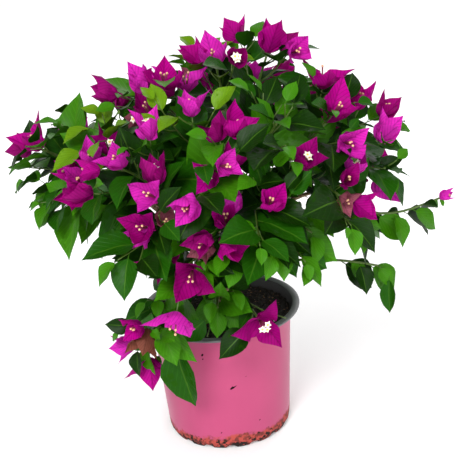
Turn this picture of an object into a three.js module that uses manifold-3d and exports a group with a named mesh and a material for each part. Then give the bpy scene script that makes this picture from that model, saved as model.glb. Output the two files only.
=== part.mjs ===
// A bougainvillea bush in its nursery pot.
//
// Millimetres, +Z up, the front of the plant towards -Y. The origin is the centre of the pot's flat
// underside. A short woody trunk stands on the compost and carries main boughs; lesser boughs leave
// the main ones, and each bough ends where a mass of leaves and bracts begins.
import * as THREE from 'three';
import { mergeVertices } from 'three/addons/utils/BufferGeometryUtils.js';
import Module from 'manifold-3d';

const wasm = await Module();
wasm.setup();

const up = new THREE.Vector3(0, 0, 1);
const rad = THREE.MathUtils.degToRad;
const goldenTurn = rad(137.5);
const clearance = 0.3; // left between any two solids that rest on each other

// ---- Pot and compost ---------------------------------------------------------------------------

const potHeight = 140;
const potWall = 2;
const footRadius = 62; // of the flat underside
const heelRadius = 67; // where the rounded heel meets the wall
const heelHeight = 12;
const shoulderRadius = 74.4; // where the wall starts to open into the rim
const shoulderHeight = 126;
const rimRadius = 85;
const rimWidth = 7.5; // of the flat grey lip
const rimThickness = 2.8;
const floorThickness = 4;
const compostHeight = 131;
const potSides = 36;

const notchCount = 16; // drainage notches moulded into the heel
const notchWidth = 9;
const notchDepth = 14;
const notchHeight = 3.4;

// ---- Trunk and limbs ---------------------------------------------------------------------------

const trunkHeight = 82;
const trunkLean = { x: 7, y: -5 }; // how far the fork stands from the foot
const flareRadius = 13;
const collarRadius = 8.5; // above the root flare
const forkRadius = 7;
const flareHeight = 12;
const trunkSides = 14;

const leaderRadius = 3.6; // a main bough at the trunk
const boughRadius = 2.5; // a lesser bough at its root
const boughTipRadius = 1.7;
const stemTipRadius = 1.2; // of a mass's stem, which starts as thick as its bough ends
const twigRadius = 0.65;
const boughShare = 0.42; // of a lesser limb that is bare bough
const leaderShare = 0.6; // of a main limb that is bare bough
const bareShare = 0.35; // of a shoot from the trunk that bears no leaves

// Each main bough with the shoots that it carries, its own end shoot first. A shoot is its name, the
// compass heading, reach and height of its tip, how many of its side twigs flower, the size of its
// leaves, and the seed of its growth. Headings run anticlockwise from +X, so 270 faces the front.
const leaders = {
  summit: [
    ['summit', 350, 78, 440, 2, 0.8, 1],
    ['summit_back', 95, 76, 396, 2, 0.9, 102],
    ['crest', 305, 32, 434, 2, 0.8, 25],
    ['top_left', 226, 84, 420, 3, 0.9, 103],
  ],
  left: [
    ['left_far', 189, 188, 354, 2, 0.9, 4],
    ['left_low', 212, 172, 328, 2, 1, 405],
    ['left_high', 218, 150, 368, 3, 1, 6],
    ['back_left', 160, 176, 334, 2, 1, 7],
  ],
  front_left: [
    ['front_left', 249, 188, 308, 3, 1, 8],
    ['left', 238, 168, 362, 3, 1, 10],
  ],
  front: [
    ['front', 275, 176, 304, 2, 1, 11],
    ['front_high', 273, 162, 366, 2, 1, 12],
    ['top_front', 264, 122, 404, 1, 0.9, 13],
  ],
  front_right: [
    ['front_right', 289, 188, 318, 2, 1, 14],
    ['right_front', 308, 180, 272, 0, 1, 15],
    ['top_right', 302, 148, 394, 3, 0.9, 16],
  ],
  right: [
    ['right', 343, 200, 342, 3, 0.9, 17],
    ['right_low', 318, 192, 306, 2, 1, 118],
    ['shoulder_right', 327, 164, 384, 3, 0.9, 19],
    ['trail_right', 350, 262, 262, 0, 0.6, 220],
  ],
  back: [
    ['back', 92, 194, 330, 3, 1, 221],
    ['back_right', 40, 184, 336, 3, 1, 122],
    ['back_right_low', 12, 198, 292, 2, 1, 223],
    ['back_left_low', 132, 196, 290, 3, 1, 24],
    ['back_high', 58, 122, 380, 3, 1, 9],
  ],
};

// Shoots that rise straight from the trunk, with the height above the compost at which they leave it
// after the columns above.
const basalShoots = [
  ['low_left', 230, 140, 270, 0, 1, 26, 36],
  ['front_low', 262, 176, 262, 2, 1, 227, 44],
  ['over_rim_left', 233, 158, 168, 2, 0.8, 228, 20],
  ['over_rim_front', 268, 118, 168, 1, 1, 29, 28],
  ['over_rim_right', 289, 142, 160, 1, 0.7, 30, 18],
  ['trail_right_low', 336, 206, 200, 0, 0.8, 31, 30],
  ['back_low', 72, 190, 222, 2, 1, 32, 40],
];

// ---- Leaves and bracts -------------------------------------------------------------------------

const crownCentre = new THREE.Vector3(0, 0, 262);
const headRoom = 30; // a stem stops this far short of its reach, to leave room for its last head
const internode = 16; // between leaves along a stem
const twigLengths = [68, 51, 34, 24]; // a twig is the first of these that its space has room for
const leafLength = [50, 64]; // petiole and blade
const leafShape = { breadth: 0.56, fold: 0.07, drop: 0.1 };
const bractLength = [30, 38];
const bractShape = { breadth: 0.7, fold: 0.1, drop: 0.06 };
const bladeThickness = 1.5; // at the midrib, thinning to the edge
const spaceMargin = 2.2; // kept from the space of the next mass

const finishes = {
  pot: new THREE.MeshStandardMaterial({ color: 0xd9578c, roughness: 0.35, metalness: 0 }),
  compost: new THREE.MeshStandardMaterial({ color: 0x17110c, roughness: 0.95, metalness: 0 }),
  bark: new THREE.MeshStandardMaterial({ color: 0x75603f, roughness: 0.85, metalness: 0 }),
  foliage: new THREE.MeshStandardMaterial({ color: 0x2f6b1f, roughness: 0.45, metalness: 0 }),
  blossom: new THREE.MeshStandardMaterial({ color: 0x9c1f86, roughness: 0.55, metalness: 0 }),
};

// ---- Solids ------------------------------------------------------------------------------------

// A closed solid from its corners and its triangles.
function solidOf(corners, triangles) {
  return new wasm.Manifold(new wasm.Mesh({
    numProp: 3,
    vertProperties: new Float32Array(corners.flatMap((p) => [p.x, p.y, p.z])),
    triVerts: new Uint32Array(triangles.flat()),
  }));
}

function solidOfGeometry(geometry) {
  const bare = geometry.clone().deleteAttribute('normal').deleteAttribute('uv');
  const merged = mergeVertices(bare, 1e-3);
  return new wasm.Manifold(new wasm.Mesh({
    numProp: 3,
    vertProperties: merged.attributes.position.array,
    triVerts: new Uint32Array(merged.index.array),
  }));
}

function geometryOf(solid) {
  const mesh = solid.getMesh();
  const geometry = new THREE.BufferGeometry();
  geometry.setAttribute('position', new THREE.BufferAttribute(mesh.vertProperties, 3));
  geometry.setIndex(new THREE.BufferAttribute(mesh.triVerts, 1));
  geometry.computeVertexNormals();
  return geometry;
}

// A tapering limb along a curve from t0 to t1, whose radius at each share of that stretch is given.
function limbSolid(curve, t0, t1, radiusAt, sides, steps) {
  const across = curve.across;
  const corners = [];
  for (let i = 0; i <= steps; i += 1) {
    const t = t0 + ((t1 - t0) * i) / steps;
    const centre = curve.getPoint(t);
    const over = new THREE.Vector3().crossVectors(curve.getTangent(t), across).normalize();
    for (let j = 0; j < sides; j += 1) {
      const angle = (2 * Math.PI * j) / sides;
      const spoke = across.clone().multiplyScalar(Math.cos(angle)).addScaledVector(over, Math.sin(angle));
      corners.push(centre.clone().addScaledVector(spoke, radiusAt(i / steps)));
    }
  }
  const triangles = [];
  for (let i = 0; i < steps; i += 1) {
    for (let j = 0; j < sides; j += 1) {
      const a = i * sides + j;
      const b = i * sides + ((j + 1) % sides);
      triangles.push([a, b, a + sides], [b, b + sides, a + sides]);
    }
  }
  for (let j = 1; j < sides - 1; j += 1) {
    const last = steps * sides;
    triangles.push([0, j + 1, j], [last, last + j, last + j + 1]);
  }
  return solidOf(corners, triangles);
}

// ---- Limbs -------------------------------------------------------------------------------------

// A limb arches from its root to its tip. It rises at first, and more so the lower its tip lies.
class Arch extends THREE.QuadraticBezierCurve3 {
  constructor(root, tip) {
    const span = tip.clone().sub(root);
    const lift = span.length() * (0.27 - (0.15 * span.z) / span.length());
    const bend = root.clone().lerp(tip, 0.45).addScaledVector(up, lift);
    super(root, bend, tip);
    this.across = new THREE.Vector3().crossVectors(bend.clone().sub(root), span).normalize();
  }
}

const trunkFoot = new THREE.Vector3(0, 0, compostHeight + clearance);
const trunkFork = new THREE.Vector3(trunkLean.x, trunkLean.y, trunkFoot.z + trunkHeight);
const trunkCurve = new THREE.LineCurve3(trunkFoot, trunkFork);

function trunkRadius(share) {
  const height = share * trunkHeight;
  if (height < flareHeight) {
    const rise = height / flareHeight;
    return flareRadius + (collarRadius - flareRadius) * Math.sqrt(rise * (2 - rise));
  }
  const climb = (height - flareHeight) / (trunkHeight - flareHeight);
  return THREE.MathUtils.lerp(collarRadius, forkRadius, climb);
}

// A bud is one row of the tables above, with the place of its tip.
function budOf([name, heading, reach, height, blooms, leafSize, seed, from]) {
  const far = new THREE.Vector3(reach, 0, height).applyAxisAngle(up, rad(heading));
  const aim = far.clone().sub(trunkFork).normalize();
  const tip = far.clone().addScaledVector(aim, -headRoom);
  return { name, far, aim, tip, blooms, leafSize, seed, from };
}

function boughSolid(curve, share, rootRadius) {
  const end = share - (1.3 * clearance) / curve.getLength();
  const radiusAt = (s) => THREE.MathUtils.lerp(rootRadius, boughTipRadius, s);
  return limbSolid(curve, 0, end, radiusAt, 5, 5);
}

function stemSolid(curve, from) {
  const radiusAt = (s) => THREE.MathUtils.lerp(boughTipRadius, stemTipRadius, s);
  return limbSolid(curve, from, 1, radiusAt, 3, 7);
}

const limbs = []; // in growing order

// A limb starts at a point inside its carrier and is moved out along its own line until the two
// solids stand just clear. Its share is the part of it that is bare: a bough, a solid of its own, or,
// where it has no root radius, the foot of its mass's stem.
function addLimb(bud, at, carrier, share, rootRadius) {
  const aim = new Arch(at, bud.tip).getTangent(0);
  const limbFrom = (out) => {
    const curve = new Arch(at.clone().addScaledVector(aim, out), bud.tip);
    return { curve, solid: rootRadius ? boughSolid(curve, share, rootRadius) : stemSolid(curve, 0) };
  };
  let [low, high] = [0, 40];
  while (high - low > 0.02) {
    const out = (low + high) / 2;
    [low, high] = carrier.minGap(limbFrom(out).solid, 1) < clearance ? [out, high] : [low, out];
  }
  const { curve, solid } = limbFrom(high);
  const bough = rootRadius ? Array.from({ length: 7 }, (_, i) => curve.getPoint((share * i) / 6)) : null;
  const limb = { ...bud, curve, solid, share, rootRadius, bough, line: curve.getPoints(12) };
  limbs.push(limb);
  return limb;
}

const leaderHeights = [74, 54, 66, 56, 68, 58, 64]; // above the compost, staggered round the trunk
const trunkSolid = solidOfGeometry(trunkGeometry());

Object.values(leaders).forEach(([own, ...sideShoots], i) => {
  const fork = trunkCurve.getPoint(leaderHeights[i] / trunkHeight);
  const leader = addLimb(budOf(own), fork, trunkSolid, leaderShare, leaderRadius);
  sideShoots.map(budOf).forEach((bud, k) => {
    const t = leaderShare * (0.92 - (0.5 * (k + 0.5)) / sideShoots.length);
    addLimb(bud, leader.curve.getPoint(t), leader.solid, boughShare, boughRadius);
  });
});
for (const bud of basalShoots.map(budOf)) {
  addLimb(bud, trunkCurve.getPoint(bud.from / trunkHeight), trunkSolid, bareShare, 0);
}

// ---- The space of each mass --------------------------------------------------------------------

function distanceToLine(point, line) {
  let least = Infinity;
  const step = new THREE.Vector3();
  const gap = new THREE.Vector3();
  for (let i = 1; i < line.length; i += 1) {
    step.subVectors(line[i], line[i - 1]);
    gap.subVectors(point, line[i - 1]);
    const share = THREE.MathUtils.clamp(gap.dot(step) / step.lengthSq(), 0, 1);
    least = Math.min(least, gap.addScaledVector(step, -share).length());
  }
  return least;
}

const trunkLine = [trunkFoot, trunkFork];

// A mass keeps to the points that are nearer to its own limb than to any other, within that limb's
// reach, and clear of the pot.
function inSpace(point, limb) {
  if (point.clone().sub(limb.far).dot(limb.aim) > 0) return false;
  if (point.z < potHeight + 4 && Math.hypot(point.x, point.y) < rimRadius + 4) return false;
  if (point.z < 4) return false;
  if (limb.bough && distanceToLine(point, limb.bough) < boughTipRadius + spaceMargin) return false;
  const own = distanceToLine(point, limb.line) + spaceMargin;
  if (distanceToLine(point, trunkLine) < own + forkRadius) return false;
  return limbs.every((other) => other === limb || distanceToLine(point, other.line) > own);
}

// ---- Growth ------------------------------------------------------------------------------------

// A die with a seed, so that the plant grows the same each time.
class Dice {
  constructor(seed) {
    this.state = seed;
  }

  roll(low, high) {
    this.state = (this.state * 48271) % 2147483647;
    return low + ((high - low) * this.state) / 2147483647;
  }
}

function spokeAround(axis, angle) {
  const beside = Math.abs(axis.z) < 0.9 ? up : new THREE.Vector3(1, 0, 0);
  return new THREE.Vector3().crossVectors(axis, beside).normalize().applyAxisAngle(axis, angle);
}

function outward(point) {
  return point.clone().sub(crownCentre).normalize();
}

function mixed(...pairs) {
  const sum = new THREE.Vector3();
  for (const [vector, weight] of pairs) sum.addScaledVector(vector, weight);
  return sum.normalize();
}

// The corners of a leaf or bract that points one way and faces another. The shape gives its breadth,
// the rise of its edges above the midrib and the drop of its tip, as shares of its length.
function blade(root, direction, facing, length, shape) {
  const face = facing.clone().addScaledVector(direction, -facing.dot(direction)).normalize();
  const side = new THREE.Vector3().crossVectors(direction, face);
  const at = (along, sideways, rise) => root.clone()
    .addScaledVector(direction, along * length)
    .addScaledVector(side, sideways * length)
    .addScaledVector(face, rise * length);
  return {
    root,
    face,
    middle: at(0.45, 0, 0),
    left: at(0.45, -shape.breadth / 2, shape.fold),
    right: at(0.45, shape.breadth / 2, shape.fold),
    tip: at(1, 0, -shape.drop),
  };
}

// The free part of a blade, beyond its root, as the corners of four faces and as its edges.
function outlineOf({ root, middle, left, right, tip }) {
  const neck = root.clone().lerp(middle, 0.25);
  const rim = [neck, right, tip, left];
  const faces = rim.map((corner, i) => [corner, rim[(i + 1) % 4], middle]);
  return { faces, edges: [...faces, [neck, middle], [middle, tip]] };
}

function pierces(edges, faces) {
  const hit = new THREE.Vector3();
  return edges.some(([from, to]) => {
    const ray = new THREE.Ray(from, to.clone().sub(from).normalize());
    const reach = from.distanceTo(to);
    const isHit = (face) => ray.intersectTriangle(...face, false, hit) && hit.distanceTo(from) < reach;
    return faces.some(isHit);
  });
}

function isFree(blades, mass) {
  return blades.every((b) => {
    const { faces, edges } = outlineOf(b);
    const crossed = mass.outlines.some((o) => pierces(edges, o.faces) || pierces(o.edges, faces));
    return !crossed && !pierces(mass.wood, faces) && bladeFits(b, mass.limb);
  });
}

function keep(blades, mass, kind) {
  mass[kind].push(...blades);
  mass.outlines.push(...blades.map(outlineOf));
}

function bladeFits({ root, middle, left, right, tip }, limb) {
  const halfWay = [left, middle, right].map((p) => p.clone().lerp(tip, 0.5));
  const shoulders = [left, right].map((p) => root.clone().lerp(p, 0.6));
  return [left, middle, right, tip, ...halfWay, ...shoulders].every((p) => inSpace(p, limb));
}

function bladeSolid({ root, middle, left, right, tip, face }) {
  const over = middle.clone().addScaledVector(face, bladeThickness / 2);
  const under = middle.clone().addScaledVector(face, -bladeThickness / 2);
  const rim = [root, right, tip, left];
  const triangles = [0, 1, 2, 3].flatMap((i) => {
    const next = (i + 1) % 4;
    return [[i, next, 4], [next, i, 5]];
  });
  return solidOf([...rim, over, under], triangles);
}

function addTwig(mass, from, to) {
  mass.twigs.push(new THREE.LineCurve3(from, to));
  mass.wood.push([from, to]);
}

// A leaf droops from its stalk and turns its face to the light. It tries three places round the
// stem, then a smaller size, and is skipped where none stays in the mass's space.
function growLeaf(mass, point, stemDirection, turn, size, droop) {
  const out = outward(point);
  for (const [shift, scale] of [[0, 1], [0.7, 1], [-0.7, 1], [0, 0.75], [1.6, 0.75]]) {
    const stalk = mixed([spokeAround(stemDirection, turn + shift), 0.8], [stemDirection, 0.35], [out, 0.5]);
    const direction = mixed([stalk, 1], [up, -droop]);
    const length = size * scale * mass.limb.leafSize;
    const leaf = blade(point, direction, mixed([out, 0.7], [up, 0.7]), length, leafShape);
    if (isFree([leaf], mass)) {
      keep([leaf], mass, 'leaves');
      return;
    }
  }
}

// Three bracts stand round a flower like the sides of a lantern. Where an open head would leave the
// space, a narrower one is tried.
function growTriad(mass, point, direction, turn, size, opening) {
  for (const [spread, shift] of [[opening, 0], [opening, 1], [rad(30), 0], [rad(30), 1]]) {
    const bracts = [0, 1, 2].map((k) => {
      const side = spokeAround(direction, turn + shift + (k * 2 * Math.PI) / 3);
      const aim = mixed([direction, Math.cos(spread)], [side, Math.sin(spread)]);
      const inward = mixed([direction, Math.sin(spread)], [side, -Math.cos(spread)]);
      const foot = point.clone().addScaledVector(side, 0.2).addScaledVector(direction, -0.7 * k);
      return blade(foot, aim, inward, size, bractShape);
    });
    if (isFree(bracts, mass)) {
      keep(bracts, mass, 'bracts');
      return true;
    }
  }
  return false;
}

// A flowering limb ends in a head, with one or two more on short stalks that leave it just below.
function growHeads(mass, end, direction, dice, most) {
  const turn = dice.roll(0, 2 * Math.PI);
  for (let k = 0; k < most; k += 1) {
    const size = dice.roll(...bractLength);
    const opening = rad(dice.roll(32, 62));
    const stalk = dice.roll(9, 14);
    const base = end.clone().addScaledVector(direction, -3 * k);
    const spoke = spokeAround(direction, turn + k * 2.8);
    const aim = mixed([direction, 0.7], [spoke, 0.9], [outward(end), 0.5], [up, 0.25]);
    if (k === 0) {
      growTriad(mass, end, direction, turn, size, opening);
    } else if (growTriad(mass, base.clone().addScaledVector(aim, stalk), aim, turn + k, size, opening)) {
      addTwig(mass, base, base.clone().addScaledVector(aim, stalk + 0.6));
    }
  }
}

// A twig leaves the stem at a slant, bears leaves of its own, and flowers or ends in young leaves.
function growTwig(mass, point, stemDirection, turn, dice, flowers) {
  const aim = mixed([spokeAround(stemDirection, turn), 0.75], [stemDirection, 0.5], [outward(point), 0.7]);
  const ends = twigLengths.map((length) => point.clone().addScaledVector(aim, length));
  const fits = (far) => [0.4, 0.7, 1].every((t) => inSpace(point.clone().lerp(far, t), mass.limb));
  const end = ends.find(fits);
  const leafTurn = dice.roll(0, 2 * Math.PI);
  if (!end) return;
  addTwig(mass, point, end.clone().addScaledVector(aim, 0.6));
  const nodes = Math.round(end.distanceTo(point) / internode);
  if (flowers) growHeads(mass, end, aim, dice, 2);
  for (let k = 1; k < nodes + (flowers ? 0 : 1); k += 1) {
    const at = point.clone().lerp(end, k / nodes);
    const size = dice.roll(...leafLength) * (1 - (0.3 * k) / nodes);
    growLeaf(mass, at, aim, leafTurn + k * goldenTurn, size, dice.roll(0.2, 0.9) * (1 - k / nodes));
  }
}

function growMass(limb) {
  const dice = new Dice(limb.seed);
  const line = limb.curve.getPoints(12);
  const wood = line.slice(1).map((to, i) => [line[i], to]);
  const mass = { limb, leaves: [], bracts: [], twigs: [], outlines: [], wood };
  const { curve, share, blooms, leafSize } = limb;
  const tip = curve.getPoint(1);
  const tipDirection = curve.getTangent(1);
  growHeads(mass, curve.getPoint(0.995), tipDirection, dice, blooms ? 3 : 0);
  const nodes = Math.floor((curve.getLength() * (1 - share) * leafSize) / internode);
  const firstTurn = dice.roll(0, 2 * Math.PI);
  for (let k = 0; k < nodes; k += 1) {
    const t = 1 - ((1 - share) * (k + 0.5)) / nodes;
    const point = curve.getPoint(t);
    const direction = curve.getTangent(t);
    const turn = firstTurn + k * goldenTurn;
    const size = dice.roll(...leafLength);
    const droop = dice.roll(0.3, 1.1);
    growLeaf(mass, point, direction, turn, size, droop);
    if (k % 2 === 1) {
      const fork = curve.getPoint(t + (0.5 * (1 - share)) / nodes);
      growTwig(mass, fork, direction, turn + 2.5, dice, (k - 1) / 2 < blooms);
    }
  }
  if (!blooms) growLeaf(mass, curve.getPoint(0.985), tipDirection, firstTurn, leafLength[0], 0.1);
  return mass;
}

function massSolid(mass) {
  const { curve, share, bough } = mass.limb;
  const stem = stemSolid(curve, bough ? share : 0);
  const twigs = mass.twigs.map((line) => {
    line.across = spokeAround(line.getTangent(0), 0);
    return limbSolid(line, 0, 1, (s) => twigRadius * (1 - 0.2 * s), 3, 1);
  });
  const blades = [...mass.leaves, ...mass.bracts].map(bladeSolid);
  return wasm.Manifold.union([stem, ...twigs, ...blades]);
}

// A solid again from its corners put on a fine grid, so that corners that nearly meet are one.
function onGrid(solid, pitch) {
  const geometry = geometryOf(solid);
  const { array } = geometry.attributes.position;
  array.forEach((x, i) => {
    array[i] = Math.round(x / pitch) * pitch;
  });
  return solidOfGeometry(geometry);
}

// Whether each edge of a solid joins just two faces.
function isTight(solid) {
  const { numTri, numProp, vertProperties, triVerts } = solid.getMesh();
  const thousandths = (v) => [0, 1, 2].map((k) => Math.round(vertProperties[v * numProp + k] * 1000));
  const place = (v) => thousandths(v).join();
  const edges = new Set();
  for (let t = 0; t < numTri; t += 1) {
    const face = [0, 1, 2].map((k) => place(triVerts[3 * t + k]));
    face.forEach((corner, k) => edges.add(`${corner} ${face[(k + 1) % 3]}`));
  }
  return edges.size === 3 * numTri;
}

// The largest piece of a solid, freed of loose scraps and of the finest slivers.
function settled(solid) {
  for (const tolerance of [0.15, 0.2, 0.25, 0.1, 0.05, 0.3]) {
    const joined = onGrid(solid.simplify(tolerance), 0.004);
    const pieces = joined.decompose().sort((a, b) => b.volume() - a.volume());
    if (isTight(pieces[0])) return pieces[0];
  }
  throw new Error('a mass does not close with this seed');
}

// ---- The pot -----------------------------------------------------------------------------------

function turned(profile, sides) {
  const outline = profile.map(([r, z]) => new THREE.Vector2(r, z));
  return new THREE.LatheGeometry(outline, sides).rotateX(Math.PI / 2);
}

function potSolid() {
  const lipInner = rimRadius - rimWidth;
  const shell = solidOfGeometry(turned([
    [0, 0],
    [footRadius, 0],
    [footRadius + 4, 4],
    [heelRadius, heelHeight],
    [shoulderRadius, shoulderHeight],
    [lipInner + 0.4, potHeight - rimThickness],
    [rimRadius - 0.6, potHeight - rimThickness],
    [rimRadius, potHeight - rimThickness / 2],
    [rimRadius - 0.6, potHeight],
    [lipInner, potHeight],
    [shoulderRadius - potWall, shoulderHeight],
    [heelRadius - potWall, heelHeight],
    [footRadius - 2, floorThickness],
    [0, floorThickness],
  ], potSides));
  const notches = [];
  for (let k = 0; k < notchCount; k += 1) {
    const angle = (2 * Math.PI * (k + 0.5)) / notchCount;
    const notch = new THREE.BoxGeometry(notchDepth, notchWidth, 2 * notchHeight);
    notch.translate(footRadius + notchDepth / 2 - 3, 0, 0).rotateZ(angle);
    notches.push(solidOfGeometry(notch));
  }
  return shell.subtract(wasm.Manifold.union(notches));
}

// The trunk is cut level where it meets the compost and leans as it rises.
function trunkGeometry() {
  const levels = [0, 2.5, 5, 8.5, flareHeight, trunkHeight * 0.5, trunkHeight];
  const wall = levels.map((height) => [trunkRadius(height / trunkHeight), height]);
  const slant = [trunkLean.x / trunkHeight, trunkLean.y / trunkHeight];
  return turned([[0, 0], ...wall, [0, trunkHeight]], trunkSides)
    .applyMatrix4(new THREE.Matrix4().makeShear(0, 0, 0, 0, ...slant))
    .translate(0, 0, trunkFoot.z);
}

function compostGeometry() {
  const wall = potWall + clearance + 0.1;
  const wallSlope = (rimRadius - rimWidth - shoulderRadius + potWall) / (potHeight - shoulderHeight);
  const brim = shoulderRadius - wall + wallSlope * (compostHeight - shoulderHeight);
  return turned([
    [0, floorThickness + clearance],
    [footRadius - 2 - clearance, floorThickness + clearance],
    [heelRadius - wall, heelHeight + clearance],
    [shoulderRadius - wall, shoulderHeight],
    [brim, compostHeight],
    [0, compostHeight],
  ], potSides);
}

// ---- The whole plant ---------------------------------------------------------------------------

const bush = new THREE.Group();

function add(name, geometry, material) {
  const mesh = new THREE.Mesh(geometry, material);
  mesh.name = name;
  bush.add(mesh);
}

add('pot', geometryOf(potSolid()), finishes.pot);
add('compost', compostGeometry(), finishes.compost);
add('trunk', geometryOf(trunkSolid), finishes.bark);

for (const limb of limbs) {
  const { name, solid, bough } = limb;
  if (bough) add(`bough_${name}`, geometryOf(solid), finishes.bark);
  const mass = growMass(limb);
  const finish = mass.bracts.length ? finishes.blossom : finishes.foliage;
  add(`mass_${name}`, geometryOf(settled(massSolid(mass))), finish);
}

export default bush;
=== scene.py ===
"""A bougainvillea bush in its nursery pot, grown over the CAD part.

Metres, +Z up, the front of the plant towards -Y, the origin under the middle of the pot. The plant's
own sizes are given in millimetres, as nurseries give them, and its meshes are scaled as they are built.
"""

import math

import bpy
import numpy as np
from mathutils import Matrix, Quaternion, Vector
from mathutils.bvhtree import BVHTree


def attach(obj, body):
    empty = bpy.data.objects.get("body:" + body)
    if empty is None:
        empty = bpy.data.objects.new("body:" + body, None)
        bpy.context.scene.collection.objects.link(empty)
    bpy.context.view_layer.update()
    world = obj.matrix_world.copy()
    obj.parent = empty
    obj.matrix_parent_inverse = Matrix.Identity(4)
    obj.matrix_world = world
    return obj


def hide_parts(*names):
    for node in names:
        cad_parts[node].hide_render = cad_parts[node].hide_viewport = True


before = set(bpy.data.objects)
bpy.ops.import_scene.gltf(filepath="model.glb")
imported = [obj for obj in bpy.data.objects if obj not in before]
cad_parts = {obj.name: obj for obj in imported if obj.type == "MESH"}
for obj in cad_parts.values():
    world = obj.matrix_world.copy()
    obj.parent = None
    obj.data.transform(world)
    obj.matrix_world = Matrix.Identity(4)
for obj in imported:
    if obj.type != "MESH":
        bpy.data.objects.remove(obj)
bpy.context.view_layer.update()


# The pot. A round tapered nursery pot of thin plastic, pink outside and grey within, whose flat lip
# turns outwards. Its heel stands on low feet, stained by soil and water.

MM = 0.001
POT_HEIGHT = 140
POT_WALL = 2
POT_SEGMENTS = 192
FOOT_RADIUS, HEEL_RADIUS, HEEL_HEIGHT = 62, 67, 12
SHOULDER_RADIUS, SHOULDER_HEIGHT = 74.4, 126
RIM_RADIUS, RIM_WIDTH, RIM_THICKNESS = 85, 7.5, 2.8
FEET, NOTCH_HEIGHT = 16, 3.2


class Shade:
    """A shader value that adds the nodes for the sums it is used in."""

    def __init__(self, tree, socket=None):
        self.tree = tree
        self.socket = socket

    def node(self, kind, settings=None, **values):
        """Adds a node. Its inputs are called by name, or by the letter i and their number."""
        made = self.tree.nodes.new(kind)
        for name, value in (settings or {}).items():
            setattr(made, name, value)
        for name, value in values.items():
            by_number = name[0] == "i" and name[1:].isdigit()
            self.feed(made.inputs[int(name[1:]) if by_number else name.replace("_", " ")], value)
        return made

    def of(self, kind, output, settings=None, **values):
        return Shade(self.tree, self.node(kind, settings, **values).outputs[output])

    def feed(self, socket, value):
        if isinstance(value, Shade):
            self.tree.links.new(value.socket, socket)
        elif socket.type == "RGBA" and len(value) == 3:
            socket.default_value = (*value, 1)
        else:
            socket.default_value = value

    def sum_of(self, operation, *values):
        inputs = {f"i{k}": value for k, value in enumerate(values)}
        return self.of("ShaderNodeMath", 0, {"operation": operation}, **inputs)

    def __add__(self, other):
        return self.sum_of("ADD", self, other)

    def __radd__(self, other):
        return self.sum_of("ADD", other, self)

    def __sub__(self, other):
        return self.sum_of("SUBTRACT", self, other)

    def __rsub__(self, other):
        return self.sum_of("SUBTRACT", other, self)

    def __mul__(self, other):
        return self.sum_of("MULTIPLY", self, other)

    def __rmul__(self, other):
        return self.sum_of("MULTIPLY", other, self)

    def sine(self):
        return self.sum_of("SINE", self)

    def step(self, low, high):
        """0 below low, 1 above high, smooth between."""
        smooth = {"interpolation_type": "SMOOTHSTEP"}
        return self.of("ShaderNodeMapRange", 0, smooth, Value=self, From_Min=low, From_Max=high)

    def mix(self, first, second):
        """The first colour where this value is 0, the second where it is 1."""
        return self.of("ShaderNodeMix", 2, {"data_type": "RGBA"}, i0=self, i6=first, i7=second)


def surface_of(made):
    """The inputs of a material's surface."""
    return made.node_tree.nodes["Principled BSDF"].inputs


def material(name, colour, roughness, **constants):
    """A plain Principled material and a Shade that adds nodes to it."""
    made = bpy.data.materials.new(name)
    made.use_nodes = True
    made.diffuse_color = (*colour, 1)
    surface = surface_of(made)
    surface["Base Color"].default_value = (*colour, 1)
    surface["Roughness"].default_value = roughness
    for key, value in constants.items():
        surface[key.replace("_", " ")].default_value = value
    return made, Shade(made.node_tree)


def noise(shade, scale, detail):
    place = shade.of("ShaderNodeTexCoord", "Object")
    return shade.of("ShaderNodeTexNoise", 0, Vector=place, Scale=scale, Detail=detail)


def bump(shade, height, strength, distance):
    return shade.of("ShaderNodeBump", 0, Height=height, Strength=strength, Distance=distance)


def toned(colour, share, extra=(0, 0, 0)):
    """A colour made darker or lighter by a share, with a little more of another."""
    return tuple(min(1, part * share + more) for part, more in zip(colour, extra))


class Bundle:
    """Many small shapes in millimetres, gathered into one mesh."""

    def __init__(self):
        self.points = []
        self.faces = []
        self.slots = []
        self.places = []
        self.count = 0

    def add(self, points, faces, slots=0, places=()):
        """Adds a shape, with one material slot for all its faces or one for each."""
        self.points.append(np.asarray(points, float).reshape(-1, 3))
        self.places.extend(places)
        faces = [tuple(int(v) + self.count for v in face) for face in faces]
        self.faces.extend(faces)
        self.slots.extend([slots] * len(faces) if np.isscalar(slots) else slots)
        self.count += len(self.points[-1])

    def build(self, name, materials, smooth=True):
        """Makes one mesh of all shapes, in metres."""
        mesh = bpy.data.meshes.new(name)
        mesh.from_pydata((np.concatenate(self.points) * MM).tolist(), [], self.faces)
        for made in materials:
            mesh.materials.append(made)
        mesh.polygons.foreach_set("material_index", np.array(self.slots, np.int32))
        mesh.polygons.foreach_set("use_smooth", np.full(len(self.faces), smooth))
        if self.places:
            place = mesh.attributes.new("blade_place", "FLOAT_VECTOR", "POINT")
            place.data.foreach_set("vector", np.array(self.places, np.float32).ravel())
        mesh.update()
        made = bpy.data.objects.new(name, mesh)
        bpy.context.scene.collection.objects.link(made)
        return made


def grid_faces(rows, columns, closed=False):
    """Quads over a grid of points. A closed grid joins its last column to its first."""
    across = range(columns if closed else columns - 1)
    return [
        (
            i * columns + j,
            i * columns + (j + 1) % columns,
            (i + 1) * columns + (j + 1) % columns,
            (i + 1) * columns + j,
        )
        for i in range(rows - 1)
        for j in across
    ]


def lathe(profile, segments):
    """Points of a profile of (radius, height) turned round the Z axis, ring by ring."""
    angles = np.arange(segments) * 2 * math.pi / segments
    ring = np.stack([np.cos(angles), np.sin(angles), np.zeros(segments)], 1)
    rows = [ring * radius + (0, 0, height) for radius, height in profile]
    return np.array(rows)


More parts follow.
